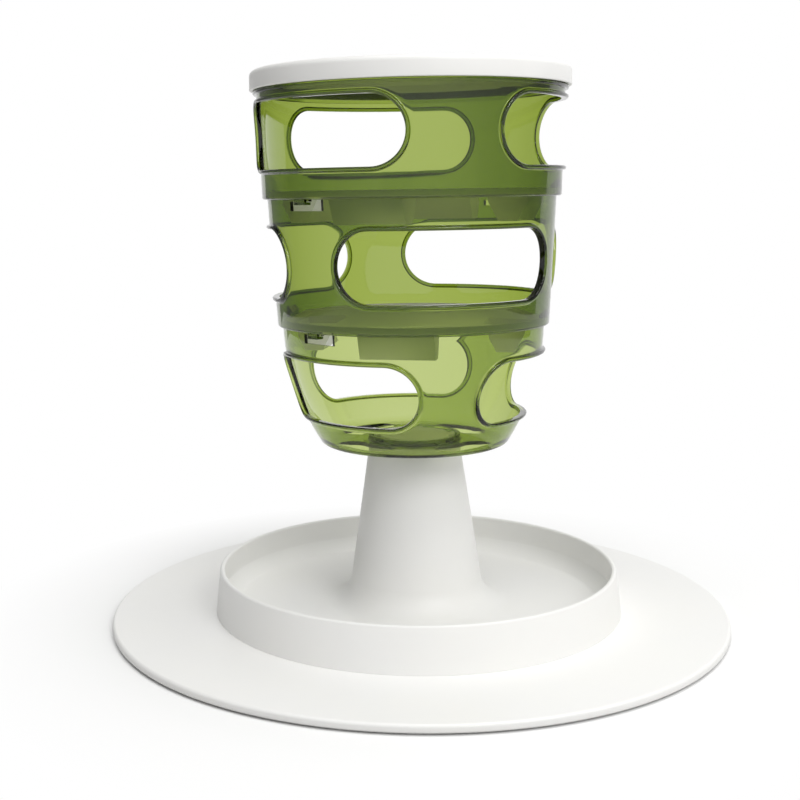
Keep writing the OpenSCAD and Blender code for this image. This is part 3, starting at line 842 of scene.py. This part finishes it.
def tier_edge(wall, from_z, edge_z, wall_t, soft):
    """A tier's rim or foot, from the outer face over the rounded edge to the inner face"""
    from_r, edge_r = wall.radius(from_z), wall.radius(edge_z)
    outer = [(from_r, from_z), (edge_r, edge_z)]
    return soften(soft, outer + [(r - wall_t, z) for r, z in outer[::-1]])


def ridged_rim(g, wall, high_z, ridge_z):
    """Rim of the top tier, with a bead under the lid's edge that rises into a ridge at each side"""
    t = g.t
    # Angle in which the bead rises, its share of the ridge's height, and steps over the ridge
    fade = math.radians(1.2)
    bead = 0.35
    steps = 10
    low = ridge_z - t.ridge_t
    r = wall.radius
    top = soften(SOFT, [
        (r(ridge_z), ridge_z),
        (r(g.top_rim_z), g.top_rim_z),
        (r(g.top_rim_z) - t.wall_t, g.top_rim_z),
        (r(high_z) - t.wall_t, high_z),
    ])

    def outline(az):
        off = abs(az % math.pi - math.pi / 2)
        share = bead + (1 - bead) * np.clip((t.ridge_half - off) / fade + 0.5, 0, 1)
        points = [(r(high_z), high_z), (r(low), low)]
        for k in range(1, steps):
            a = math.pi * k / steps
            z = low + t.ridge_t * (1 - math.cos(a)) / 2
            points.append((r(z) + share * t.ridge_h * math.sin(a) ** 0.5, z))
        return points + top

    return outline


def stop_block(g, wall, disc_z):
    """One stop inside a tier, just over the rim of the disc below, with a sloping top"""
    t = g.t
    z = disc_z + t.disc_rim_h + t.seat_gap
    r = wall.radius(z) - t.wall_t
    edge, root = r - t.stop_w, r + t.wall_t / 2
    top = z + t.stop_t + t.stop_w
    return swept([(edge, z), (root, z), (root, top), (r, top), (edge, z + t.stop_t)], t.stop_half)


def floor_hole(g):
    """Outline of a hole in the lower floor, bent round the axis and with round ends"""
    t = g.t
    outer = g.lower_flat_r - t.drop_edge
    end_r = t.drop_w / 2
    side_steps, end_steps = 8, 16

    def spot(az, r, across=0.0):
        return r * math.sin(az) + across * math.cos(az), -(r * math.cos(az) - across * math.sin(az))

    def end(az, start):
        """Points round one end, without those on the long sides"""
        for a in np.linspace(0, math.pi, end_steps + 1)[1:-1]:
            yield spot(az, outer - end_r + end_r * math.cos(start + a), end_r * math.sin(start + a))

    side = np.linspace(-t.drop_half, t.drop_half, side_steps + 1)
    return [
        *[spot(az, outer) for az in side],
        *end(t.drop_half, 0),
        *[spot(az, outer - t.drop_w) for az in side[::-1]],
        *end(-t.drop_half, math.pi),
    ]


class FEEDER_OT_lower_tier(bpy.types.Operator):
    """Make the clear bowl with its floor, hub, windows and slots"""

    bl_idname = "feeder.lower_tier"
    bl_label = "Lower tier"

    def execute(self, context):
        g = tier_layout(context.scene)
        t, s = g.t, g.base.s
        pale_depth = context.scene.feeder_colours.pale_depth
        material = clear_green(context.scene, "Pale clear green plastic", pale_depth)
        wall = g.lower_wall
        z0, floor_z = g.lower_z, g.lower_z + t.wall_t
        window = Window(wall, z0 + t.lower_sill, g.lower_rim_z - t.lower_head, t.lower_half)
        low_z = z0 + t.lower_sill - LOWER_REACH
        high_z = g.lower_rim_z - RIM_BAND
        corner = (g.lower_flat_r, z0 + t.lower_corner_r)
        lean = math.degrees(g.lower_lean)
        bore_r = g.base.spigot_r + t.lock_fit
        hub_z = floor_z + t.hub_h
        hub = soften(SMALL, [
            (g.lower_flat_r, z0),
            (bore_r, z0),
            (bore_r, floor_z),
            (g.hub_r, floor_z),
            (g.hub_r, hub_z),
            (g.hub_r + t.hub_wall, hub_z),
            (g.hub_r + t.hub_wall, floor_z, 2 * SMALL),
            (g.lower_flat_r, floor_z),
        ])
        foot = wall.between(low_z, g.lower_spring_z, steps=10)[:-1]
        foot += arc(corner, t.lower_corner_r, -lean, -90, steps=8)[:-1]
        foot += hub[:-1]
        foot += arc(corner, t.lower_corner_r - t.wall_t, -90, -lean)
        foot += [(r - t.wall_t, z) for r, z in wall.between(corner[1] + MM, low_z, steps=8)]
        rim = tier_edge(wall, high_z, g.lower_rim_z, t.wall_t, SOFT)
        shell = windowed_shell(t, window, t.window_az, low_z, high_z, foot, rim)
        tier = solid("lower_bowl", shell, material)
        through = (z0 - MM, floor_z + MM)
        notch_room = math.radians(0.8)
        notch = sector(g.base.spigot_r, g.notch_r, *through, s.lug_half + notch_room)
        slot = slot_cutter(g, wall, g.middle_z, g.lower_rim_z)
        combine(
            tier, "DIFFERENCE",
            ("holes", prism(floor_hole(g), through), t.drop_n, math.pi / t.drop_n),
            ("notches", notch, s.lug_n, math.pi / s.lug_n),
            ("slots", slot, t.lock_n, g.lock_az),
        )
        dress(tier, "lower", "lower_tier")
        return {"FINISHED"}


class FEEDER_OT_upper_tiers(bpy.types.Operator):
    """Make the two clear tubes with their windows, stops, tongues, slots and ridges"""

    bl_idname = "feeder.upper_tiers"
    bl_label = "Middle and top tiers"

    def execute(self, context):
        g = tier_layout(context.scene)
        t = g.t
        green_depth = context.scene.feeder_colours.green_depth
        material = clear_green(context.scene, "Clear green plastic", green_depth)
        rows = (
            ("middle", g.lower_wall, t.window_az + t.window_stagger),
            ("top", g.middle_wall, t.window_az),
        )
        for tier, below, first in rows:
            wall, z, rim_z, disc_z, foot_r = (
                getattr(g, f"{tier}_{part}") for part in ("wall", "z", "rim_z", "disc_z", "foot_r")
            )
            sill, head, half = (getattr(t, f"{tier}_{size}") for size in ("sill", "head", "half"))
            low_z = z + sill - UPPER_REACH
            foot = tier_edge(wall, low_z, z, t.wall_t, FULL_ROUND * t.wall_t)
            if tier == "top":
                ridge_z = g.lid_z - t.seat_gap
                high_z = ridge_z - t.ridge_t - RIDGE_BAND
                rim = ridged_rim(g, wall, high_z, ridge_z)
            else:
                high_z = rim_z - RIM_BAND
                rim = tier_edge(wall, high_z, rim_z, t.wall_t, SOFT)
            window = Window(wall, z + sill, rim_z - head, half)
            shell = windowed_shell(t, window, first, low_z, high_z, foot, rim)
            tube = solid(f"{tier}_tube", shell, material)
            stem, hook = tongue(g, below, foot_r, z)
            combine(
                tube, "UNION",
                ("stems", stem, t.lock_n, g.lock_az),
                ("hooks", hook, t.lock_n, g.lock_az),
                ("stops", stop_block(g, wall, disc_z), t.stop_n, g.lock_az + t.stop_turn),
            )
            if tier == "middle":
                slot = slot_cutter(g, wall, g.top_z, rim_z)
                combine(tube, "DIFFERENCE", ("slots", slot, t.lock_n, g.lock_az))
            dress(tube, tier, f"{tier}_tier")
        return {"FINISHED"}


def chute_block(t, disc_r, z, inset, past):
    """A chute's outside, or its inside where inset is its wall"""
    half_gap = t.chute_gap / 2 + t.chute_wall
    mid = disc_r - t.chute_edge - t.chute_l / 2
    slope = (t.chute_l / 2 - half_gap) / (t.chute_drop + t.disc_t)
    top = t.chute_l / 2 - inset + slope * past
    bottom = half_gap - inset - slope * past
    z1, z0 = z + t.disc_t + past, z - t.chute_drop - past
    if not inset:
        # The outside stops just under the disc's top face
        z1 -= 0.1 * MM
    outline = [(mid + top, z1), (mid + bottom, z0), (mid - bottom, z0), (mid - top, z1)]
    half = t.chute_w / 2 - inset
    return prism(outline, (-half, half), lambda u, v, w: (w, -u, v))


class FEEDER_OT_drop_discs(bpy.types.Operator):
    """Make the two drop discs with their chutes"""

    bl_idname = "feeder.drop_discs"
    bl_label = "Drop discs"

    def execute(self, context):
        g = tier_layout(context.scene)
        t = g.t
        rows = (
            ("lower_drop", "middle_disc", g.lower_rim_r, g.middle_disc_z, t.middle_chute_az),
            ("upper_drop", "top_disc", g.middle_rim_r, g.top_disc_z, t.top_chute_az),
        )
        for body, node, r, z, first in rows:
            outline = soften(SOFT, [
                (0, z),
                (r, z),
                (r, z + t.disc_rim_h),
                (r - t.disc_rim_w, z + t.disc_rim_h),
                (r - t.disc_rim_w, z + t.disc_t),
                (0, z + t.disc_t),
            ])
            disc = solid(f"{body}_disc", turned(outline, DISC_STEPS), white_plastic(context.scene))
            outside = chute_block(t, r, z, 0.0, 0.0)
            inside = chute_block(t, r, z, t.chute_wall, MM)
            combine(disc, "UNION", ("chutes", outside, t.chute_n, first))
            combine(disc, "DIFFERENCE", ("ways", inside, t.chute_n, first))
            dress(disc, body, node)
        return {"FINISHED"}


class FEEDER_OT_lid(bpy.types.Operator):
    """Make the lid with the ring inside its rim"""

    bl_idname = "feeder.lid"
    bl_label = "Lid"

    def execute(self, context):
        g = tier_layout(context.scene)
        t = g.t
        inner = g.top_rim_r + t.lid_fit
        outer = inner + t.lid_wall
        ring_z = g.lid_roof_z - t.lid_ring_h
        ring_r = g.top_wall.radius(ring_z) - t.wall_t - t.lid_fit
        outline = soften(SOFT, [
            (0, g.lid_roof_z),
            *ridge(ring_r - t.lid_ring_t, ring_r, g.lid_roof_z, ring_z),
            (inner, g.lid_roof_z),
            (inner, g.lid_z),
            (outer, g.lid_z),
            (outer, g.lid_top_z, t.lid_edge_r),
            (0, g.lid_top_z),
        ])
        lid = solid("cover_lid", turned(outline), white_plastic(context.scene))
        dress(lid, "cover", "lid")
        return {"FINISHED"}


def lamp(name, place, target, side, power):
    """A square lamp that points at a target"""
    light = bpy.data.lights.new(name, "AREA")
    light.shape = "RECTANGLE"
    light.size = light.size_y = side
    light.energy = power
    piece = bpy.data.objects.new(name, light)
    piece.location = place
    piece.rotation_euler = (Vector(target) - Vector(place)).to_track_quat("-Z", "Y").to_euler()
    bpy.context.scene.collection.objects.link(piece)


class FEEDER_OT_stage(bpy.types.Operator):
    """Make the floor, the light and the camera"""

    bl_idname = "feeder.stage"
    bl_label = "Stage"

    def execute(self, context):
        scene = context.scene
        scene.view_settings.view_transform = "Standard"
        self.floor(scene)
        self.world(scene)
        lamp("Overhead", place=(0.4, -0.7, 6.0), target=(0, 0, 0.1), side=4.6, power=157)
        lamp("Key", place=(1.05, -1.55, 1.45), target=(0, 0, 0.15), side=0.9, power=12.5)
        self.camera(scene)
        return {"FINISHED"}

    def floor(self, scene):
        half = 0.9
        mesh = bpy.data.meshes.new("floor")
        verts = [(-half, -half, 0), (half, -half, 0), (half, half, 0), (-half, half, 0)]
        mesh.from_pydata(verts, [], [(0, 1, 2, 3)])
        material = bpy.data.materials.new("Pale floor")
        material.use_nodes = True
        tree = material.node_tree
        # Away from the feeder the floor fades into the white background
        fade_from, fade_to = 0.182, 0.27
        where = add(tree, "ShaderNodeTexCoord")["Object"]
        far = add(tree, "ShaderNodeVectorMath", {0: where}, operation="LENGTH")["Value"]
        reach = {"Value": far, "From Min": fade_from, "From Max": fade_to}
        fade = add(tree, "ShaderNodeMapRange", reach)["Result"]
        # Light that the floor throws back comes from a darker floor without the fade
        darker = 0.62
        bounced = add(tree, "ShaderNodeLightPath")["Is Diffuse Ray"]
        direct = add(tree, "ShaderNodeMath", {0: 1.0, 1: bounced}, operation="SUBTRACT")[0]
        shown = add(tree, "ShaderNodeMath", {0: fade, 1: direct}, operation="MULTIPLY")[0]
        colour = scene.feeder_colours.floor
        tones = {"Factor": bounced, "A": opaque(colour), "B": opaque(colour, darker)}
        tone = add(tree, "ShaderNodeMix", tones, data_type="RGBA")["Result"]
        shader = tree.nodes["Principled BSDF"]
        feed(tree, shader, {"Roughness": 0.9, "Specular IOR Level": 0.0, "Base Color": tone})
        white = add(tree, "ShaderNodeEmission")["Emission"]
        mix = add(tree, "ShaderNodeMixShader", {"Fac": shown, 1: shader.outputs["BSDF"], 2: white})
        feed(tree, tree.nodes["Material Output"], {"Surface": mix["Shader"]})
        mesh.materials.append(material)
        floor = bpy.data.objects.new("floor", mesh)
        scene.collection.objects.link(floor)

    def world(self, scene):
        world = bpy.data.worlds.new("White studio")
        scene.world = world
        world.use_nodes = True
        tree = world.node_tree
        where = add(tree, "ShaderNodeTexCoord")["Generated"]

        def spread(way, low, high, to_low, to_high):
            """A strength that changes with how far a direction goes along a way"""
            along = add(tree, "ShaderNodeVectorMath", {0: where, 1: way}, operation="DOT_PRODUCT")["Value"]
            ends = {"From Min": low, "From Max": high, "To Min": to_low, "To Max": to_high}
            return add(tree, "ShaderNodeMapRange", {"Value": along, **ends})["Result"]

        def larger(a, b):
            return add(tree, "ShaderNodeMath", {0: a, 1: b}, operation="MAXIMUM")[0]

        def background(strength):
            return add(tree, "ShaderNodeBackground", {"Color": WHITE, "Strength": strength})[0]

        # Fill light is weaker from the left, and reflections show the white wall behind the feeder
        back_az = math.radians(167)
        back_way = (math.sin(back_az), -math.cos(back_az), 0)
        fill = spread((0.75, -0.4, 0.35), low=-0.65, high=0.5, to_low=0.06, to_high=0.8)
        side = spread((0, 1, 0), low=0.3, high=-0.9, to_low=0.3, to_high=1.0)
        back = spread(back_way, low=0.69, high=0.72, to_low=0.0, to_high=1.0)
        path = add(tree, "ShaderNodeLightPath")
        lit = add(tree, "ShaderNodeMixShader", {
            "Fac": path["Is Glossy Ray"], 1: background(fill), 2: background(larger(side, back)),
        })
        # What the camera sees directly or through the clear tiers is plain white
        shown = larger(path["Is Camera Ray"], path["Is Transmission Ray"])
        mix = add(tree, "ShaderNodeMixShader", {"Fac": shown, 1: lit[0], 2: background(1.0)})
        tree.nodes.remove(tree.nodes["Background"])
        feed(tree, tree.nodes["World Output"], {"Surface": mix[0]})

    def camera(self, scene):
        # Place and turn of the camera, fitted to the rims, joints and windows
        place = (0.0, -0.783, 0.2538)
        pitch, yaw, roll = math.radians(1.17), math.radians(-3.85), math.radians(-0.90)
        picture = 800
        focal_px = 1311.0
        centre_px = (323.0, 216.3)
        lens = bpy.data.cameras.new("Camera")
        lens.sensor_width = 36.0
        lens.lens = lens.sensor_width * focal_px / picture
        lens.shift_x = (picture / 2 - centre_px[0]) / picture
        lens.shift_y = (centre_px[1] - picture / 2) / picture
        lens.clip_start = 0.01
        camera = bpy.data.objects.new("Camera", lens)
        stand = Matrix.Translation(place)
        for angle, axis in ((-yaw, "Z"), (math.pi / 2 - pitch, "X"), (roll, "Z")):
            stand @= Matrix.Rotation(angle, 4, axis)
        camera.matrix_world = stand
        scene.collection.objects.link(camera)
        scene.camera = camera


OPERATORS = (
    FEEDER_OT_stage,
    FEEDER_OT_base_plate,
    FEEDER_OT_foot_pads,
    FEEDER_OT_dish,
    FEEDER_OT_lower_tier,
    FEEDER_OT_upper_tiers,
    FEEDER_OT_drop_discs,
    FEEDER_OT_lid,
)
GROUPS = (
    ("feeder_base", FeederBaseSizes),
    ("feeder_tiers", FeederTierSizes),
    ("feeder_colours", FeederColours),
)


class FEEDER_PT_panel(bpy.types.Panel):
    """Lists the pieces of the feeder"""

    bl_idname = "FEEDER_PT_panel"
    bl_label = "Puzzle feeder"
    bl_space_type = "VIEW_3D"
    bl_region_type = "UI"
    bl_category = "Feeder"

    def draw(self, context):
        for operator in OPERATORS:
            self.layout.operator(operator.bl_idname)
        for name, group in GROUPS:
            box = self.layout.box()
            for prop in group.__annotations__:
                box.prop(getattr(context.scene, name), prop)


def register():
    for name, group in GROUPS:
        bpy.utils.register_class(group)
        setattr(bpy.types.Scene, name, bpy.props.PointerProperty(type=group))
    for operator in OPERATORS:
        bpy.utils.register_class(operator)
    bpy.utils.register_class(FEEDER_PT_panel)


def unregister():
    bpy.utils.unregister_class(FEEDER_PT_panel)
    for operator in reversed(OPERATORS):
        bpy.utils.unregister_class(operator)
    for name, group in reversed(GROUPS):
        delattr(bpy.types.Scene, name)
        bpy.utils.unregister_class(group)


def main():
    register()
    for operator in OPERATORS:
        group, name = operator.bl_idname.split(".")
        getattr(getattr(bpy.ops, group), name)()
    bpy.context.view_layer.update()


if __name__ == "__main__":
    main()
